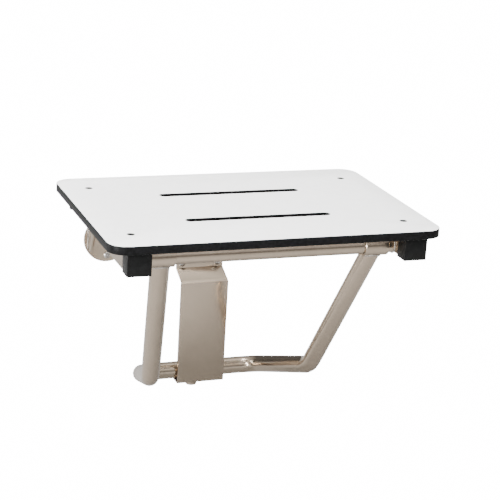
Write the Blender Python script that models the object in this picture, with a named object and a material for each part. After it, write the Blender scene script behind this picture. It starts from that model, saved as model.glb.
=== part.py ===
"""Wall-mounted folding shower seat: phenolic seat panel on a square-tube frame, with a bent-tube
support leg that hangs from the front cross tube and runs in a guide bracket on the wall.

Frame: origin on the wall, at the middle of the guide bracket's upper flange. +X across the seat,
+Y into the wall, +Z up. Everything is in metres.
"""

import math

import bmesh
import bpy
from mathutils import Matrix, Vector

GAP = 0.0003

# Seat panel
SEAT_W = 0.508
SEAT_D = 0.356
SEAT_T = 0.0127
SEAT_TOP = 0.1565
SEAT_BACK = -0.016
CORNER_R = 0.027
SLOT_LENGTH = 0.228
SLOT_WIDTH = 0.015
SLOT_FROM_FRONT = (0.109, 0.242)

# Tubes
RAIL = 0.03175
RAIL_WALL = 0.0016
TUBE_R = 0.0127
LEG_R = 0.0143
TUBE_WALL = 0.0015
SLEEVE_R = 0.0159
SLEEVE_LENGTH = 0.038

# Places worked out from the sizes above
SEAT_FRONT = SEAT_BACK - SEAT_D
UNDERSIDE = SEAT_TOP - SEAT_T
RAIL_X = 0.211
RAIL_TOP = UNDERSIDE - GAP
RAIL_MID = RAIL_TOP - RAIL / 2
RAIL_FRONT = SEAT_FRONT + 0.010
RAIL_BACK = SEAT_BACK - 0.012
CROSS_Y = SEAT_FRONT + 0.056
CROSS_Z = SEAT_TOP - 0.035
SLEEVE_X = 0.166
SCREW_FROM_FRONT = (0.056, 0.297)

# Hinge at the wall
PIVOT_Y = -0.044
PIVOT_Z = SEAT_TOP - 0.033
PIVOT_R = 0.00475
PLATE_T = 0.0048
PLATE_X = RAIL_X - RAIL / 2 - 0.003 - PLATE_T / 2
FLANGE_X = 0.160
FLANGE_Z = SEAT_TOP - 0.107
FLANGE_R = 0.0381
FLANGE_T = 0.0048
FLANGE_SCREW_PCD_R = 0.027

# Guide bracket on the wall
GUIDE_W = 0.081
GUIDE_FACE_Y = -0.0365
GUIDE_SHEET = 0.0025
GUIDE_FLANGE_TOP = 0.016
GUIDE_FLANGE_BOTTOM = -0.0095
GUIDE_FACE_TOP = SEAT_TOP - 0.180
GUIDE_BOTTOM = SEAT_TOP - 0.3575
GUIDE_LIP = 0.0070
GUIDE_SCREW_X = 0.0305

# Support leg
BAR_Y = -0.0148
BAR_Z = SEAT_TOP - 0.3403
BAR_SPLIT_X = GUIDE_W / 2 + 0.0016
KNEE = (0.133, SEAT_FRONT + 0.190, SEAT_TOP - 0.278)
ARM_END = (0.100, BAR_Y, BAR_Z)
KNEE_R = 0.036
ELBOW_R = 0.036

STEEL = ("satin_steel", (0.56, 0.53, 0.49), 0.34, 1.0)
SCREW_STEEL = ("screw_steel", (0.62, 0.60, 0.57), 0.26, 1.0)
WHITE = ("white_phenolic", (0.88, 0.88, 0.87), 0.35, 0.0)
BLACK = ("black_plastic", (0.018, 0.018, 0.019), 0.45, 0.0)
NYLON = ("nylon", (0.80, 0.79, 0.75), 0.5, 0.0)


def clear_scene():
    for obj in list(bpy.data.objects):
        bpy.data.objects.remove(obj, do_unlink=True)


def collection(name):
    made = bpy.data.collections.new(name)
    bpy.context.scene.collection.children.link(made)
    return made


def material(kind):
    name, colour, roughness, metallic = kind
    made = bpy.data.materials.get(name)
    if made:
        return made
    made = bpy.data.materials.new(name)
    made.use_nodes = True
    shader = made.node_tree.nodes["Principled BSDF"]
    shader.inputs["Base Color"].default_value = (*colour, 1)
    shader.inputs["Roughness"].default_value = roughness
    shader.inputs["Metallic"].default_value = metallic
    return made


def add(name, mesh, kind=None, smooth=None):
    """An object of this mesh: a part when it has a material, else a hidden cutter."""
    obj = bpy.data.objects.new(name, mesh)
    if kind is None:
        CUTTERS.objects.link(obj)
        obj.hide_render = True
        obj.display_type = "WIRE"
        return obj
    PARTS.objects.link(obj)
    mesh.materials.clear()
    mesh.materials.append(material(kind))
    if smooth:
        mesh.shade_smooth()
        mesh.set_sharp_from_angle(angle=math.radians(smooth))
    return obj


def mesh_of(name, bm):
    bmesh.ops.recalc_face_normals(bm, faces=bm.faces)
    mesh = bpy.data.meshes.new(name)
    bm.to_mesh(mesh)
    bm.free()
    return mesh


def box_mesh(name, low, high, bevel=0.0):
    bm = bmesh.new()
    bmesh.ops.create_cube(bm, size=1)
    size = [b - a for a, b in zip(low, high)]
    middle = [(a + b) / 2 for a, b in zip(low, high)]
    bmesh.ops.scale(bm, vec=size, verts=bm.verts)
    bmesh.ops.translate(bm, vec=middle, verts=bm.verts)
    if bevel:
        bmesh.ops.bevel(bm, geom=bm.edges[:], offset=bevel, segments=2, profile=0.5, affect="EDGES")
    return mesh_of(name, bm)


def turned_mesh(name, profile, centre, axis, steps=32):
    """A solid turned from (radius, height) points, its height along axis from centre."""
    bm = bmesh.new()
    verts = [bm.verts.new((radius, 0, height)) for radius, height in profile]
    edges = [bm.edges.new(pair) for pair in zip(verts, verts[1:] + verts[:1])]
    bmesh.ops.spin(bm, geom=verts + edges, axis=(0, 0, 1), cent=(0, 0, 0), steps=steps,
                   angle=math.tau, use_merge=True)
    bmesh.ops.remove_doubles(bm, verts=bm.verts, dist=1e-6)
    bmesh.ops.dissolve_degenerate(bm, edges=bm.edges, dist=1e-6)
    turn = Vector((0, 0, 1)).rotation_difference(Vector(axis)).to_matrix().to_4x4()
    bmesh.ops.transform(bm, matrix=Matrix.Translation(centre) @ turn, verts=bm.verts)
    return mesh_of(name, bm)


def rod_mesh(name, centre, axis, radius, length, steps=32, chamfer=0.0):
    """A solid cylinder that starts at centre and runs along axis."""
    c = chamfer
    profile = [(0, 0), (radius - c, 0), (radius, c), (radius, length - c), (radius - c, length), (0, length)]
    if not c:
        profile = [(0, 0), (radius, 0), (radius, length), (0, length)]
    return turned_mesh(name, profile, centre, axis, steps)


def ring_mesh(name, centre, axis, inner, outer, length, steps=32, chamfer=0.0):
    c = chamfer
    profile = [(inner, 0), (outer - c, 0), (outer, c),
               (outer, length - c), (outer - c, length), (inner, length)]
    if not c:
        profile = [(inner, 0), (outer, 0), (outer, length), (inner, length)]
    return turned_mesh(name, profile, centre, axis, steps)


def prism_mesh(name, outline, plane, low, high, bevel=0.0):
    """A flat outline pushed from low to high. plane 'yz' runs along X, 'xy' along Z."""
    bm = bmesh.new()
    if plane == "yz":
        verts = [bm.verts.new((low, a, b)) for a, b in outline]
        push = (high - low, 0, 0)
    else:
        verts = [bm.verts.new((a, b, low)) for a, b in outline]
        push = (0, 0, high - low)
    face = bm.faces.new(verts)
    grown = bmesh.ops.extrude_face_region(bm, geom=[face])
    moved = [item for item in grown["geom"] if isinstance(item, bmesh.types.BMVert)]
    bmesh.ops.translate(bm, vec=push, verts=moved)
    if bevel:
        ends = [edge for edge in bm.edges
                if abs((edge.verts[0].co - edge.verts[1].co).dot(Vector(push))) < 1e-9]
        bmesh.ops.bevel(bm, geom=ends, offset=bevel, segments=2, profile=0.5, affect="EDGES")
    return mesh_of(name, bm)


def arc(cx, cy, radius, start, end, steps):
    angles = [math.radians(start + (end - start) * i / steps) for i in range(steps + 1)]
    return [(cx + radius * math.cos(a), cy + radius * math.sin(a)) for a in angles]


def rounded_rectangle(x0, y0, x1, y1, radius, steps):
    corners = [(x1 - radius, y0 + radius, -90), (x1 - radius, y1 - radius, 0),
               (x0 + radius, y1 - radius, 90), (x0 + radius, y0 + radius, 180)]
    return [point for cx, cy, start in corners for point in arc(cx, cy, radius, start, start + 90, steps)]


def combine(obj, operation, *tools):
    for tool in tools:
        modifier = obj.modifiers.new(operation.lower() + "_" + tool.name, "BOOLEAN")
        modifier.operation = operation
        modifier.object = tool
        modifier.solver = "EXACT"
    return obj


def tube_along(name, points, radius, kind):
    """A round tube along a polyline, as a mesh so that it can be cut."""
    curve = bpy.data.curves.new(name + "_path", "CURVE")
    curve.dimensions = "3D"
    curve.bevel_depth = radius
    curve.bevel_resolution = 6
    curve.use_fill_caps = True
    spline = curve.splines.new("POLY")
    spline.points.add(len(points) - 1)
    for point, place in zip(spline.points, points):
        point.co = (*place, 1)
    holder = bpy.data.objects.new(name + "_curve", curve)
    bpy.context.scene.collection.objects.link(holder)
    bpy.context.view_layer.update()
    graph = bpy.context.evaluated_depsgraph_get()
    mesh = bpy.data.meshes.new_from_object(holder.evaluated_get(graph))
    bpy.data.objects.remove(holder, do_unlink=True)
    bpy.data.curves.remove(curve)
    bm = bmesh.new()
    bm.from_mesh(mesh)
    bmesh.ops.remove_doubles(bm, verts=bm.verts, dist=1e-6)
    bm.to_mesh(mesh)
    bm.free()
    mesh.name = name
    return add(name, mesh, kind, 35)


def bend(before, corner, after, radius, steps):
    """Points of the arc that rounds a corner between two straight runs."""
    corner = Vector(corner)
    u = (Vector(before) - corner).normalized()
    v = (Vector(after) - corner).normalized()
    half = u.angle(v) / 2
    centre = corner + (u + v).normalized() * radius / math.sin(half)
    start = corner + u * radius / math.tan(half) - centre
    end = corner + v * radius / math.tan(half) - centre
    sweep = start.angle(end)
    points = []
    for i in range(steps + 1):
        t = i / steps
        arm = (start * math.sin((1 - t) * sweep) + end * math.sin(t * sweep)) / math.sin(sweep)
        points.append(centre + arm)
    return points


def make_seat_panel():
    outline = rounded_rectangle(-SEAT_W / 2, SEAT_FRONT, SEAT_W / 2, SEAT_BACK, CORNER_R, 8)
    panel = add("seat_panel", prism_mesh("seat_panel", outline, "xy", UNDERSIDE, SEAT_TOP, 0.0008), WHITE, 40)
    for i, place in enumerate(SLOT_FROM_FRONT):
        y = SEAT_FRONT + place
        half = SLOT_WIDTH / 2
        slot = rounded_rectangle(-SLOT_LENGTH / 2, y - half, SLOT_LENGTH / 2, y + half, half * 0.999, 5)
        opening = prism_mesh(f"slot_cut_{i}", slot, "xy", UNDERSIDE - 0.01, SEAT_TOP + 0.01)
        cutter = add(f"slot_cut_{i}", opening)
        combine(panel, "DIFFERENCE", cutter)
    for name, x, y in seat_screw_places():
        profile = screw_profile(GAP, 0.03)
        hole = turned_mesh("hole_for_" + name, profile, (x, y, SEAT_TOP), (0, 0, -1), 20)
        cutter = add("hole_for_" + name, hole)
        combine(panel, "DIFFERENCE", cutter)


def seat_screw_places():
    for side, sign in (("left", -1), ("right", 1)):
        for row, place in zip(("front", "back"), SCREW_FROM_FRONT):
            yield f"seat_screw_{row}_{side}", sign * RAIL_X, SEAT_FRONT + place


def screw_profile(extra, length):
    """Countersunk screw, depth measured down from the seat's top face."""
    head, shank, cone = 0.0055 + extra, 0.0026 + extra, 0.0034
    top = -0.001 if extra else 0.0002
    return [(0, top), (head, top), (head, 0.0008), (shank, 0.0008 + cone), (shank, length), (0, length)]


def make_seat_screws():
    for name, x, y in seat_screw_places():
        shape = turned_mesh(name, screw_profile(0, 0.021), (x, y, SEAT_TOP), (0, 0, -1), 20)
        screw = add(name, shape, SCREW_STEEL, 30)
        socket = rod_mesh(name + "_socket", (x, y, SEAT_TOP - 0.0022), (0, 0, 1), 0.0022, 0.01, 6)
        combine(screw, "DIFFERENCE", add(name + "_socket", socket))


def make_rails():
    for side, sign in (("left", -1), ("right", 1)):
        x = sign * RAIL_X
        h = RAIL / 2
        low, high = (x - h, RAIL_FRONT, RAIL_MID - h), (x + h, RAIL_BACK, RAIL_MID + h)
        mesh = box_mesh(f"side_rail_{side}", low, high)
        rail = add(f"side_rail_{side}", mesh, STEEL, 40)
        w = RAIL_WALL
        inside = box_mesh("rail_inside_" + side, (x - h + w, RAIL_FRONT - 0.01, RAIL_MID - h + w),
                          (x + h - w, RAIL_BACK + 0.01, RAIL_MID + h - w))
        bolt = rod_mesh("rail_bolt_hole_" + side, (x - 0.03, PIVOT_Y, PIVOT_Z), (1, 0, 0),
                        PIVOT_R + GAP / 2, 0.06, 24)
        combine(rail, "DIFFERENCE", add("rail_inside_" + side, inside), add("rail_bolt_hole_" + side, bolt))
        for name, screw_x, y in seat_screw_places():
            if screw_x == x:
                hole = rod_mesh("rail_" + name, (x, y, RAIL_MID), (0, 0, 1), 0.0026 + GAP, 0.03, 20)
                combine(rail, "DIFFERENCE", add("rail_" + name, hole))
        make_end_cap(f"front_cap_{side}", x, RAIL_FRONT, -1)
        make_end_cap(f"rear_cap_{side}", x, RAIL_BACK, 1)


def make_end_cap(name, x, end, outward):
    """A moulded cap over the rail's end, with a plug inside it."""
    wall, reach = 0.0016, 0.022 if outward < 0 else 0.0045
    h = RAIL / 2 + GAP
    ys = sorted((end + outward * 0.004, end - outward * reach))
    outer = box_mesh(name, (x - h - wall, ys[0], RAIL_MID - h - wall),
                     (x + h + wall, ys[1], RAIL_TOP), 0.0009)
    cap = add(name, outer, BLACK, 40)
    ys = sorted((end + outward * GAP, end - outward * 0.05))
    pocket = box_mesh(name + "_pocket", (x - h, ys[0], RAIL_MID - h), (x + h, ys[1], RAIL_TOP + 0.01))
    combine(cap, "DIFFERENCE", add(name + "_pocket", pocket))


def make_cross_tube():
    half = RAIL_X - RAIL / 2 - GAP
    mesh = ring_mesh("front_cross_tube", (-half, CROSS_Y, CROSS_Z), (1, 0, 0),
                     TUBE_R - TUBE_WALL, TUBE_R, 2 * half, 40)
    add("front_cross_tube", mesh, STEEL, 30)


def make_wall_hinges():
    for side, sign in (("left", -1), ("right", 1)):
        make_flange(side, sign)
        make_hinge_plate(side, sign)
        make_pivot(side, sign)


def flange_screw_places(sign):
    """Above, below and inboard of the flange's middle, clear of the hinge plate."""
    for i, (across, up) in enumerate(((0, 1), (0, -1), (-1, 0))):
        x = sign * (FLANGE_X + across * FLANGE_SCREW_PCD_R)
        yield i + 1, x, FLANGE_Z + up * FLANGE_SCREW_PCD_R


def make_flange(side, sign):
    centre = (sign * FLANGE_X, -FLANGE_T, FLANGE_Z)
    name = f"wall_flange_{side}"
    c = 0.0008
    profile = [(0, 0), (FLANGE_R - c, 0), (FLANGE_R, c), (FLANGE_R, FLANGE_T), (0, FLANGE_T)]
    flange = add(name, turned_mesh(name, profile, centre, (0, 1, 0), 48), STEEL, 30)
    for i, x, z in flange_screw_places(sign):
        cutter = rod_mesh(f"{name}_hole_{i}", (x, -0.02, z), (0, 1, 0), 0.0034, 0.04, 16)
        combine(flange, "DIFFERENCE", add(f"{name}_hole_{i}", cutter))
        dome_screw(f"flange_screw_{side}_{i}", (x, -FLANGE_T - GAP, z), 0.0058, 0.003, 0.0031, 0.022)


def dome_screw(name, seat, head_r, head_h, shank_r, length):
    """A dome-head screw into the wall: seat is the middle of the head's underside."""
    dome = [(head_r * math.cos(a), -head_h * math.sin(a)) for a in (math.radians(i * 15) for i in range(6))]
    profile = [(shank_r, length), (shank_r, 0), *dome, (0, -head_h), (0, length)]
    screw = add(name, turned_mesh(name, profile, seat, (0, 1, 0), 20), SCREW_STEEL, 30)
    x, y, z = seat
    socket = rod_mesh(name + "_socket", (x, y - head_h * 0.45, z), (0, -1, 0), head_r * 0.42, 0.01, 6)
    combine(screw, "DIFFERENCE", add(name + "_socket", socket))


def make_hinge_plate(side, sign):
    """Upright plate that stands on the flange and carries the pivot bolt beside the rail."""
    name = f"hinge_plate_{side}"
    back = -FLANGE_T - GAP
    foot = FLANGE_Z - 0.016
    eye = 0.0145
    # The notch behind the eye is where the panel's back edge swings down as the seat folds.
    notch_y, notch_z = PIVOT_Y + 0.017, PIVOT_Z - 0.031
    outline = [(back, foot), (back, notch_z), (notch_y, notch_z)]
    outline += arc(PIVOT_Y, PIVOT_Z, eye, -12, 192, 12)
    outline += [(PIVOT_Y - eye + 0.002, PIVOT_Z - 0.022), (back - 0.016, foot + 0.004), (back - 0.012, foot)]
    x = sign * PLATE_X
    plate = add(name, prism_mesh(name, outline, "yz", x - PLATE_T / 2, x + PLATE_T / 2, 0.0005), STEEL, 30)
    hole = rod_mesh(name + "_hole", (x - 0.02, PIVOT_Y, PIVOT_Z), (1, 0, 0), PIVOT_R + GAP, 0.04, 24)
    combine(plate, "DIFFERENCE", add(name + "_hole", hole))


def make_pivot(side, sign):
    """Pivot bolt through rail and hinge plate, with a nylon washer between them and a lock nut."""
    outer = RAIL_X + RAIL / 2 + GAP
    inner = PLATE_X - PLATE_T / 2 - GAP
    reach = outer - inner + 0.009
    head = [(0.0079 * math.cos(a), -0.0042 * math.sin(a)) for a in (math.radians(i * 15) for i in range(6))]
    profile = [(0, reach), (PIVOT_R, reach), (PIVOT_R, 0), *head, (0, -0.0042)]
    centre = (sign * outer, PIVOT_Y, PIVOT_Z)
    shape = turned_mesh(f"pivot_bolt_{side}", profile, centre, (-sign, 0, 0), 24)
    bolt = add(f"pivot_bolt_{side}", shape, SCREW_STEEL, 30)
    socket = rod_mesh("bolt_socket_" + side, (sign * (outer + 0.0016), PIVOT_Y, PIVOT_Z),
                      (sign, 0, 0), 0.0032, 0.01, 6)
    combine(bolt, "DIFFERENCE", add("bolt_socket_" + side, socket))
    washer_x = RAIL_X - RAIL / 2 - GAP
    washer = ring_mesh(f"pivot_washer_{side}", (sign * washer_x, PIVOT_Y, PIVOT_Z), (-sign, 0, 0),
                       PIVOT_R + GAP / 2, 0.0094, 0.003 - 2 * GAP, 24)
    add(f"pivot_washer_{side}", washer, NYLON, 30)
    nut = ring_mesh(f"pivot_nut_{side}", (sign * inner, PIVOT_Y, PIVOT_Z), (-sign, 0, 0),
                    PIVOT_R + GAP, 0.0088, 0.007, 24)
    nut = add(f"pivot_nut_{side}", nut, SCREW_STEEL, 30)
    hexagon = rod_mesh("nut_hexagon_" + side, (sign * (inner + 0.001), PIVOT_Y, PIVOT_Z),
                       (-sign, 0, 0), 0.0092, 0.01, 6)
    combine(nut, "INTERSECT", add("nut_hexagon_" + side, hexagon))


def make_guide():
    """Folded sheet bracket: flange on the wall, sloped step, tall face, side lips, bottom lip."""
    t = GUIDE_SHEET
    f, top, bottom = GUIDE_FACE_Y, GUIDE_FACE_TOP, GUIDE_BOTTOM
    slope = math.atan2(-f, GUIDE_FLANGE_BOTTOM - top)
    outline = [(0, GUIDE_FLANGE_TOP), (0, GUIDE_FLANGE_BOTTOM), (f + t, top - t * math.tan(slope / 2)),
               (f + t, bottom + t), (-0.004, bottom + t), (-0.004, bottom), (f + 0.003, bottom),
               (f + 0.0009, bottom + 0.0009), (f, bottom + 0.003), (f, top),
               (-t, GUIDE_FLANGE_BOTTOM + t * math.tan(slope / 2)),
               (-t, GUIDE_FLANGE_TOP)]
    half = GUIDE_W / 2
    bracket = add("guide_bracket", prism_mesh("guide_bracket", outline, "yz", -half, half, 0.0005), STEEL, 30)
    lip_bottom = BAR_Z + LEG_R + 0.002
    for side, sign in (("left", -1), ("right", 1)):
        xs = sorted((sign * half, sign * (half - t)))
        corners = [(f + 0.001, lip_bottom), (f + GUIDE_LIP, lip_bottom),
                   (f + GUIDE_LIP, top + 0.0045), (f + 0.001, top - 0.001)]
        lip = prism_mesh("guide_lip_" + side, corners, "yz", xs[0] + 0.0001, xs[1] - 0.0001)
        combine(bracket, "UNION", add("guide_lip_" + side, lip))
        hole = rod_mesh("guide_hole_" + side, (sign * GUIDE_SCREW_X, -0.02, 0), (0, 1, 0), 0.0034, 0.04, 16)
        combine(bracket, "DIFFERENCE", add("guide_hole_" + side, hole))
        dome_screw(f"guide_screw_{side}", (sign * GUIDE_SCREW_X, -t - GAP, 0), 0.0056, 0.003, 0.0031, 0.02)
    stub = rod_mesh("guide_foot_stop", (-0.012, -0.022, bottom - GAP), (0, 0, -1), 0.0095, 0.0065, 28, 0.001)
    add("guide_foot_stop", stub, STEEL, 30)


def make_leg():
    for side, sign in (("left", -1), ("right", 1)):
        start = SLEEVE_X - SLEEVE_LENGTH / 2
        sleeve = ring_mesh(f"pivot_sleeve_{side}", (sign * start, CROSS_Y, CROSS_Z), (sign, 0, 0),
                           TUBE_R + GAP, SLEEVE_R, SLEEVE_LENGTH, 40, 0.0006)
        add(f"pivot_sleeve_{side}", sleeve, STEEL, 30)
        top = (sign * SLEEVE_X, CROSS_Y, CROSS_Z)
        knee = (sign * KNEE[0], KNEE[1], KNEE[2])
        elbow = (sign * ARM_END[0], ARM_END[1], ARM_END[2])
        end = (sign * BAR_SPLIT_X, BAR_Y, BAR_Z)
        points = [top, *bend(top, knee, elbow, KNEE_R, 8), *bend(knee, elbow, end, ELBOW_R, 8), end]
        leg = tube_along(f"support_leg_{side}", points, LEG_R, STEEL)
        cutter = rod_mesh("leg_cope_" + side, (sign * SLEEVE_X - 0.04, CROSS_Y, CROSS_Z), (1, 0, 0),
                          SLEEVE_R + GAP, 0.08, 40)
        combine(leg, "DIFFERENCE", add("leg_cope_" + side, cutter))


def make_slider():
    """The stretch of the leg's lower bar that runs inside the guide, and its nylon glide."""
    half = BAR_SPLIT_X - GAP
    bar = ring_mesh("guide_bar", (-half, BAR_Y, BAR_Z), (1, 0, 0), LEG_R - TUBE_WALL, LEG_R, 2 * half, 40)
    add("guide_bar", bar, STEEL, 30)
    glide = box_mesh("guide_glide", (-0.030, GUIDE_FACE_Y + GUIDE_SHEET + 0.0006, BAR_Z - 0.0122),
                     (0.030, BAR_Y - 0.004, BAR_Z + 0.0015), 0.0008)
    glide = add("guide_glide", glide, NYLON, 40)
    saddle = rod_mesh("glide_saddle", (-0.05, BAR_Y, BAR_Z), (1, 0, 0), LEG_R + GAP, 0.1, 40)
    combine(glide, "DIFFERENCE", add("glide_saddle", saddle))


clear_scene()
PARTS = collection("folding_shower_seat")
CUTTERS = collection("cutters")
make_seat_panel()
make_seat_screws()
make_rails()
make_cross_tube()
make_wall_hinges()
make_guide()
make_leg()
make_slider()
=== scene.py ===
import math

import bmesh
import bpy
from mathutils import Euler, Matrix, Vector


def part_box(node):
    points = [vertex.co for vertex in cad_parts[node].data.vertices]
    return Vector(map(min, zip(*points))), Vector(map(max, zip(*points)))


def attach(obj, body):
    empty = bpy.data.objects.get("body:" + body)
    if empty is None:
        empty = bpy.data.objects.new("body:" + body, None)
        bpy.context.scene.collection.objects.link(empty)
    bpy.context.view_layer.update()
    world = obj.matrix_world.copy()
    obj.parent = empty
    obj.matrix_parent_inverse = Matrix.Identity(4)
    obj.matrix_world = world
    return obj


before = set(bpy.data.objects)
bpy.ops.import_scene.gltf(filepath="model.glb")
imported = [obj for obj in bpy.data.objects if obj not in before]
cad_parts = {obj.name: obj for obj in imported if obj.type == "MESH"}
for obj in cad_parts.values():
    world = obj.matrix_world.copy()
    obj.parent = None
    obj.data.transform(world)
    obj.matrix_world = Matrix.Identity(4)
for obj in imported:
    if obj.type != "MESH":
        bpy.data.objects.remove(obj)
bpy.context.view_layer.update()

# Sizes that the welds and the laminate need, read from the frame
PANEL_LOW, PANEL_HIGH = (Vector(corner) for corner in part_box("seat_panel"))
SLEEVE_LOW, SLEEVE_HIGH = (Vector(corner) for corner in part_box("pivot_sleeve_right"))
TUBE_LOW, TUBE_HIGH = (Vector(corner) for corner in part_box("front_cross_tube"))
FLANGE_LOW, FLANGE_HIGH = (Vector(corner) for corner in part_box("wall_flange_right"))
PLATE_LOW, PLATE_HIGH = (Vector(corner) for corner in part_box("hinge_plate_right"))
SLEEVE_MID = (SLEEVE_LOW + SLEEVE_HIGH) / 2
SLEEVE_R = (SLEEVE_HIGH.z - SLEEVE_LOW.z) / 2
TUBE_R = (TUBE_HIGH.z - TUBE_LOW.z) / 2
LEG_R = (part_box("guide_bar")[1][2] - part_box("guide_bar")[0][2]) / 2
LAMINATE_FACE = 0.0001
# Where the leg tube bends towards the wall
KNEE = Vector((0.133, PANEL_LOW.y + 0.190, PANEL_HIGH.z - 0.278))
JOIN_DISTANCE = 0.00001
CRISP_EDGE_DEGREES = 32

# Weld beads: how thick they are, and how far they stand off the surfaces they join
LEG_WELD = 0.0015
SEAM_WELD = 0.0013
WELD_PULSE = 0.22
SLEEVE_STANDOFF = 0.0002
FLANGE_STANDOFF = 0.0004
HINGE_WELD_MARGINS = (0.002, 0.018)
HINGE_WELD_STEPS = 48

# The part of Blender's noise that the materials stretch over their full range
NOISE_LOW = 0.3
NOISE_HIGH = 0.7

STEEL_COLOUR = (0.50, 0.415, 0.325)
STEEL_DARK = (0.45, 0.37, 0.29)
STEEL_ROUGHNESS = (0.19, 0.25)
BRUSH_LINE_SCALE = 3200
BRUSH_LINE_STRETCH = 0.02

# The studio. The seat top is 18 in above the paper.
FLOOR_Z = PANEL_HIGH.z - 0.457
FLOOR_REACH = 6
PAPER_STRENGTH = 16.0
ROOM_STRENGTH = 1.7
# Heights from straight down (0) to straight up (1), each with its grey level
ROOM_LEVELS = ((0.0, 0.5), (0.40, 0.20), (0.52, 0.14), (0.62, 0.24), (0.80, 0.9), (1.0, 1.5))
# Where the room starts and stops dimming towards the wall, and the share of its light left there
ROOM_DIMS_FROM = 0.1
ROOM_DIMS_TO = 0.45
ROOM_DIMMED = 0.4

CAMERA_PLACE = (-0.788, -2.313, 0.804)
CAMERA_HEADING = 20.76
CAMERA_DOWN = 17.67
CAMERA_ROLL = 3.43
CAMERA_LENS = 111.4
CAMERA_SENSOR = 36


# ---------------------------------------------------------------- materials

def new_material(name):
    """The material, its node tree and its main shader."""
    made = bpy.data.materials.new(name)
    made.use_nodes = True
    tree = made.node_tree
    return made, tree, tree.nodes["Principled BSDF"]


def wire(tree, source, output, target, socket):
    tree.links.new(source.outputs[output], target.inputs[socket])


def noise(tree, scale, detail, stretch=(1, 1, 1)):
    """Noise in object space; a small stretch value draws it out along that axis."""
    place = tree.nodes.new("ShaderNodeTexCoord")
    mapping = tree.nodes.new("ShaderNodeMapping")
    mapping.inputs["Scale"].default_value = stretch
    made = tree.nodes.new("ShaderNodeTexNoise")
    made.inputs["Scale"].default_value = scale
    made.inputs["Detail"].default_value = detail
    wire(tree, place, "Object", mapping, "Vector")
    wire(tree, mapping, "Vector", made, "Vector")
    return made


def ranged(tree, source, low, high):
    """The noise's middle range turned into numbers from low to high."""
    made = tree.nodes.new("ShaderNodeMapRange")
    made.inputs["From Min"].default_value = NOISE_LOW
    made.inputs["From Max"].default_value = NOISE_HIGH
    made.inputs["To Min"].default_value = low
    made.inputs["To Max"].default_value = high
    wire(tree, source, "Fac", made, "Value")
    return made


def colours(tree, source, dark, light):
    """The noise's middle range turned into colours from dark to light."""
    ramp = tree.nodes.new("ShaderNodeValToRGB")
    ramp.color_ramp.elements[0].position = NOISE_LOW
    ramp.color_ramp.elements[0].color = (*dark, 1)
    ramp.color_ramp.elements[1].position = NOISE_HIGH
    ramp.color_ramp.elements[1].color = (*light, 1)
    wire(tree, source, "Fac", ramp, "Fac")
    return ramp


def bump(tree, source, shader, strength, distance):
    made = tree.nodes.new("ShaderNodeBump")
    made.inputs["Strength"].default_value = strength
    made.inputs["Distance"].default_value = distance
    wire(tree, source, "Fac", made, "Height")
    wire(tree, made, "Normal", shader, "Normal")


def brushed_steel(name, along):
    """Satin stainless: fine brush lines drawn out along one axis, with faint cloudy handling marks."""
    made, tree, shader = new_material(name)
    stretch = [1.0, 1.0, 1.0]
    stretch["xyz".index(along)] = BRUSH_LINE_STRETCH
    lines = noise(tree, BRUSH_LINE_SCALE, 2, stretch)
    clouds = noise(tree, 14, 4)
    ramp = colours(tree, clouds, STEEL_DARK, STEEL_COLOUR)
    wire(tree, ramp, "Color", shader, "Base Color")
    wire(tree, ranged(tree, lines, *STEEL_ROUGHNESS), "Result", shader, "Roughness")
    shader.inputs["Metallic"].default_value = 1.0
    bump(tree, lines, shader, 0.012, 0.00003)
    return made


def fastener_steel(name, dark, light):
    """Plain turned steel, finely mottled."""
    made, tree, shader = new_material(name)
    turned = noise(tree, 500, 3)
    wire(tree, colours(tree, turned, dark, light), "Color", shader, "Base Color")
    wire(tree, ranged(tree, turned, 0.22, 0.36), "Result", shader, "Roughness")
    shader.inputs["Metallic"].default_value = 1.0
    bump(tree, turned, shader, 0.15, 0.0001)
    return made


def weld_steel():
    """Cleaned weld metal, a little duller and rougher than the tube."""
    made, tree, shader = new_material("weld_steel")
    grain = noise(tree, 380, 4)
    wire(tree, colours(tree, grain, (0.34, 0.31, 0.28), (0.50, 0.465, 0.42)), "Color", shader, "Base Color")
    wire(tree, ranged(tree, grain, 0.34, 0.52), "Result", shader, "Roughness")
    shader.inputs["Metallic"].default_value = 1.0
    bump(tree, grain, shader, 0.4, 0.0003)
    return made


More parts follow.
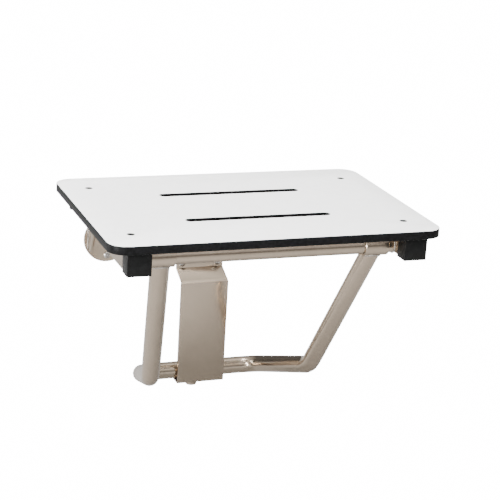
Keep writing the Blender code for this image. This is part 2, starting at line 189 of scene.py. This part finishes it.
def phenolic_panel():
    """White decorative faces on a black solid core, which shows at the edges and in the slots."""
    made, tree, shader = new_material("phenolic_panel")
    place = tree.nodes.new("ShaderNodeTexCoord")
    split = tree.nodes.new("ShaderNodeSeparateXYZ")
    wire(tree, place, "Object", split, "Vector")
    middle = (PANEL_LOW.z + PANEL_HIGH.z) / 2
    away = tree.nodes.new("ShaderNodeMath")
    away.operation = "SUBTRACT"
    away.inputs[1].default_value = middle
    wire(tree, split, "Z", away, 0)
    size = tree.nodes.new("ShaderNodeMath")
    size.operation = "ABSOLUTE"
    wire(tree, away, "Value", size, 0)
    face = tree.nodes.new("ShaderNodeMath")
    face.operation = "GREATER_THAN"
    face.inputs[1].default_value = (PANEL_HIGH.z - PANEL_LOW.z) / 2 - LAMINATE_FACE
    wire(tree, size, "Value", face, 0)
    mottle = noise(tree, 60, 5)
    white = colours(tree, mottle, (0.84, 0.84, 0.84), (0.88, 0.88, 0.88))
    core = colours(tree, noise(tree, 260, 4), (0.004, 0.004, 0.004), (0.010, 0.010, 0.011))
    mix = tree.nodes.new("ShaderNodeMix")
    mix.data_type = "RGBA"
    tree.links.new(face.outputs[0], mix.inputs[0])
    tree.links.new(core.outputs["Color"], mix.inputs[6])
    tree.links.new(white.outputs["Color"], mix.inputs[7])
    tree.links.new(mix.outputs[2], shader.inputs["Base Color"])
    texture = noise(tree, 1400, 2)
    wire(tree, ranged(tree, texture, 0.34, 0.46), "Result", shader, "Roughness")
    shader.inputs["Specular IOR Level"].default_value = 0.08
    bump(tree, texture, shader, 0.08, 0.0001)
    return made


def moulded_plastic(name, dark, light, roughness):
    """Moulded plastic with a fine spark-eroded texture."""
    made, tree, shader = new_material(name)
    spark = noise(tree, 1100, 2)
    wire(tree, colours(tree, noise(tree, 90, 3), dark, light), "Color", shader, "Base Color")
    wire(tree, ranged(tree, spark, *roughness), "Result", shader, "Roughness")
    shader.inputs["Specular IOR Level"].default_value = 0.18
    bump(tree, spark, shader, 0.25, 0.00015)
    return made


STEEL_BY_AXIS = {axis: brushed_steel("satin_steel_" + axis, axis) for axis in "xyz"}
FASTENER = fastener_steel("fastener_steel", (0.42, 0.40, 0.38), (0.62, 0.60, 0.57))
SEAT_SCREW = fastener_steel("seat_screw_steel", (0.10, 0.10, 0.10), (0.19, 0.19, 0.19))
WELD = weld_steel()
BLACK = moulded_plastic("black_moulded", (0.003, 0.003, 0.003), (0.007, 0.007, 0.007), (0.38, 0.5))
NYLON = moulded_plastic("natural_nylon", (0.66, 0.65, 0.60), (0.76, 0.75, 0.71), (0.42, 0.55))
PANEL = phenolic_panel()


def material_for(node):
    """Steel brushed along each part's own length, unless the part is something else."""
    if node == "seat_panel":
        return PANEL
    if "cap" in node:
        return BLACK
    if "washer" in node or "glide" in node:
        return NYLON
    if node.startswith("seat_screw"):
        return SEAT_SCREW
    if "screw" in node or "bolt" in node or "nut" in node:
        return FASTENER
    if "rail" in node:
        return STEEL_BY_AXIS["y"]
    if "cross_tube" in node or "sleeve" in node or node == "guide_bar":
        return STEEL_BY_AXIS["x"]
    return STEEL_BY_AXIS["z"]


def dress(node, obj):
    """New material, and smooth shading that stays crisp at the real edges."""
    obj.data.materials.clear()
    obj.data.materials.append(material_for(node))
    obj.data.shade_smooth()
    weld = obj.modifiers.new("join_faces", "WELD")
    weld.merge_threshold = JOIN_DISTANCE
    split = obj.modifiers.new("crisp_edges", "EDGE_SPLIT")
    split.split_angle = math.radians(CRISP_EDGE_DEGREES)


# ---------------------------------------------------------------- welds

def bead(name, path, thickness, body, cyclic=True):
    """A weld bead: a thin closed run of filler whose width pulses with each puddle."""
    curve = bpy.data.curves.new(name, "CURVE")
    curve.dimensions = "3D"
    curve.bevel_depth = thickness
    curve.bevel_resolution = 3
    curve.use_fill_caps = not cyclic
    spline = curve.splines.new("POLY")
    spline.points.add(len(path) - 1)
    spline.use_cyclic_u = cyclic
    for i, (point, place) in enumerate(zip(spline.points, path)):
        point.co = (*place, 1)
        point.radius = 1 + WELD_PULSE * math.sin(i * math.pi / 2)
    curve.materials.append(WELD)
    obj = bpy.data.objects.new(name, curve)
    bpy.context.scene.collection.objects.link(obj)
    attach(obj, body)
    return obj


def ring_path(centre, radius, steps=96):
    """A circle around the X axis."""
    angles = [math.tau * i / steps for i in range(steps)]
    return [centre + Vector((0, radius * math.cos(a), radius * math.sin(a))) for a in angles]


def saddle_path(sign, steps=120):
    """Round the joint where the leg tube meets its sleeve."""
    axis_point = Vector((sign * SLEEVE_MID.x, SLEEVE_MID.y, SLEEVE_MID.z))
    along = (Vector((sign * KNEE.x, KNEE.y, KNEE.z)) - axis_point).normalized()
    side = along.cross(Vector((0, 1, 0))).normalized()
    front = along.cross(side).normalized()
    reach = SLEEVE_R + SLEEVE_STANDOFF
    path = []
    for i in range(steps):
        angle = math.tau * i / steps
        offset = LEG_R * (math.cos(angle) * side + math.sin(angle) * front)
        # How far down the leg its surface leaves the sleeve, which runs along X: a quadratic in Y and Z.
        square = along.y ** 2 + along.z ** 2
        linear = 2 * (along.y * offset.y + along.z * offset.z)
        constant = offset.y ** 2 + offset.z ** 2 - reach ** 2
        distance = (-linear + math.sqrt(linear * linear - 4 * square * constant)) / (2 * square)
        path.append(axis_point + offset + along * distance)
    return path


def upright_path(x):
    """Up the corner between a hinge plate and its wall flange."""
    bottom_margin, top_margin = HINGE_WELD_MARGINS
    low = PLATE_LOW.z + bottom_margin
    high = FLANGE_HIGH.z - top_margin
    heights = [low + (high - low) * i / HINGE_WELD_STEPS for i in range(HINGE_WELD_STEPS + 1)]
    return [Vector((x, FLANGE_LOW.y - FLANGE_STANDOFF, z)) for z in heights]


def make_welds():
    for side, sign in (("left", -1), ("right", 1)):
        bead(f"leg_weld_{side}", saddle_path(sign), LEG_WELD, "leg")
        end = Vector((sign * (TUBE_HIGH.x - SLEEVE_STANDOFF), SLEEVE_MID.y, SLEEVE_MID.z))
        bead(f"cross_tube_weld_{side}", ring_path(end, TUBE_R), SEAM_WELD, "seat")
        for edge, x in (("inner", PLATE_LOW.x), ("outer", PLATE_HIGH.x)):
            path = upright_path(sign * x)
            bead(f"hinge_weld_{edge}_{side}", path, SEAM_WELD, "wall_mount", cyclic=False)


# ---------------------------------------------------------------- studio

def set_stops(ramp, stops):
    """Grey levels, faintly warm, at positions along a colour ramp."""
    while len(ramp.color_ramp.elements) < len(stops):
        ramp.color_ramp.elements.new(0.5)
    for element, (position, level) in zip(ramp.color_ramp.elements, stops):
        element.position = position
        element.color = (level, level * 0.985, level * 0.96, 1)


def sweep_material():
    """Paper that the camera sees as lit white, and that lights the object as plain pale grey."""
    made, tree, shader = new_material("studio_floor")
    grain = noise(tree, 3, 2)
    wire(tree, colours(tree, grain, (0.30, 0.30, 0.30), (0.32, 0.32, 0.32)), "Color", shader, "Base Color")
    shader.inputs["Roughness"].default_value = 0.9
    lit = tree.nodes.new("ShaderNodeEmission")
    lit.inputs["Color"].default_value = (1, 1, 1, 1)
    lit.inputs["Strength"].default_value = PAPER_STRENGTH
    seen = tree.nodes.new("ShaderNodeLightPath")
    mix = tree.nodes.new("ShaderNodeMixShader")
    wire(tree, seen, "Is Camera Ray", mix, "Fac")
    tree.links.new(shader.outputs["BSDF"], mix.inputs[1])
    tree.links.new(lit.outputs["Emission"], mix.inputs[2])
    tree.links.new(mix.outputs["Shader"], tree.nodes["Material Output"].inputs["Surface"])
    return made


def room_light():
    """A soft studio: bright overhead, dimmest at the horizon, paler below."""
    world = bpy.data.worlds.new("studio")
    world.use_nodes = True
    tree = world.node_tree
    place = tree.nodes.new("ShaderNodeTexCoord")
    split = tree.nodes.new("ShaderNodeSeparateXYZ")
    wire(tree, place, "Generated", split, "Vector")
    ramp = tree.nodes.new("ShaderNodeValToRGB")
    set_stops(ramp, ROOM_LEVELS)
    height = tree.nodes.new("ShaderNodeMapRange")
    height.inputs["From Min"].default_value = -1
    wire(tree, split, "Z", height, "Value")
    wire(tree, height, "Result", ramp, "Fac")
    # Dimmer behind the object, where its wall would be.
    behind = tree.nodes.new("ShaderNodeMapRange")
    behind.inputs["From Min"].default_value = ROOM_DIMS_FROM
    behind.inputs["From Max"].default_value = ROOM_DIMS_TO
    behind.inputs["To Min"].default_value = ROOM_STRENGTH
    behind.inputs["To Max"].default_value = ROOM_STRENGTH * ROOM_DIMMED
    wire(tree, split, "Y", behind, "Value")
    background = tree.nodes["Background"]
    wire(tree, ramp, "Color", background, "Color")
    wire(tree, behind, "Result", background, "Strength")
    return world


def make_studio():
    """Pale paper under the object, and the room's soft light."""
    bm = bmesh.new()
    bmesh.ops.create_grid(bm, x_segments=8, y_segments=8, size=FLOOR_REACH)
    mesh = bpy.data.meshes.new("studio_floor")
    bm.to_mesh(mesh)
    bm.free()
    floor = bpy.data.objects.new("studio_floor", mesh)
    floor.location = (0, 0, FLOOR_Z)
    floor.data.materials.append(sweep_material())
    bpy.context.scene.collection.objects.link(floor)
    bpy.context.scene.world = room_light()


def softbox(name, place, target, size, power):
    """A rectangular area light that faces the target."""
    light = bpy.data.lights.new(name, "AREA")
    light.shape = "RECTANGLE"
    light.size, light.size_y = size
    light.energy = power
    obj = bpy.data.objects.new(name, light)
    obj.location = place
    obj.rotation_euler = (Vector(target) - Vector(place)).to_track_quat("-Z", "Y").to_euler()
    bpy.context.scene.collection.objects.link(obj)


def make_camera():
    """Left of the middle and above the seat, as the object is usually shown."""
    data = bpy.data.cameras.new("camera")
    data.sensor_width = CAMERA_SENSOR
    data.lens = CAMERA_LENS
    camera = bpy.data.objects.new("camera", data)
    camera.location = CAMERA_PLACE
    turn = Euler((0, 0, math.radians(-CAMERA_HEADING))).to_matrix()
    tilt = Euler((math.radians(90 - CAMERA_DOWN), 0, 0)).to_matrix()
    lean = Euler((0, 0, math.radians(CAMERA_ROLL))).to_matrix()
    camera.rotation_euler = (turn @ tilt @ lean).to_euler()
    bpy.context.scene.collection.objects.link(camera)
    bpy.context.scene.camera = camera


make_camera()
for node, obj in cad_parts.items():
    dress(node, obj)
make_welds()
make_studio()
softbox("key", (-0.6, -0.4, 2.2), (0, -0.2, 0), (1.8, 1.4), 155)
softbox("left_strip", (-1.9, -1.2, 0.15), (0, -0.2, -0.05), (0.24, 1.8), 80)
softbox("front_band", (-0.2, -2.2, 2.1), (0, -0.2, -0.05), (2.4, 0.3), 26)
softbox("back_left_strip", (-1.6, 0.7, 0.1), (0, -0.2, -0.05), (0.4, 1.6), 16)

bpy.context.view_layer.update()
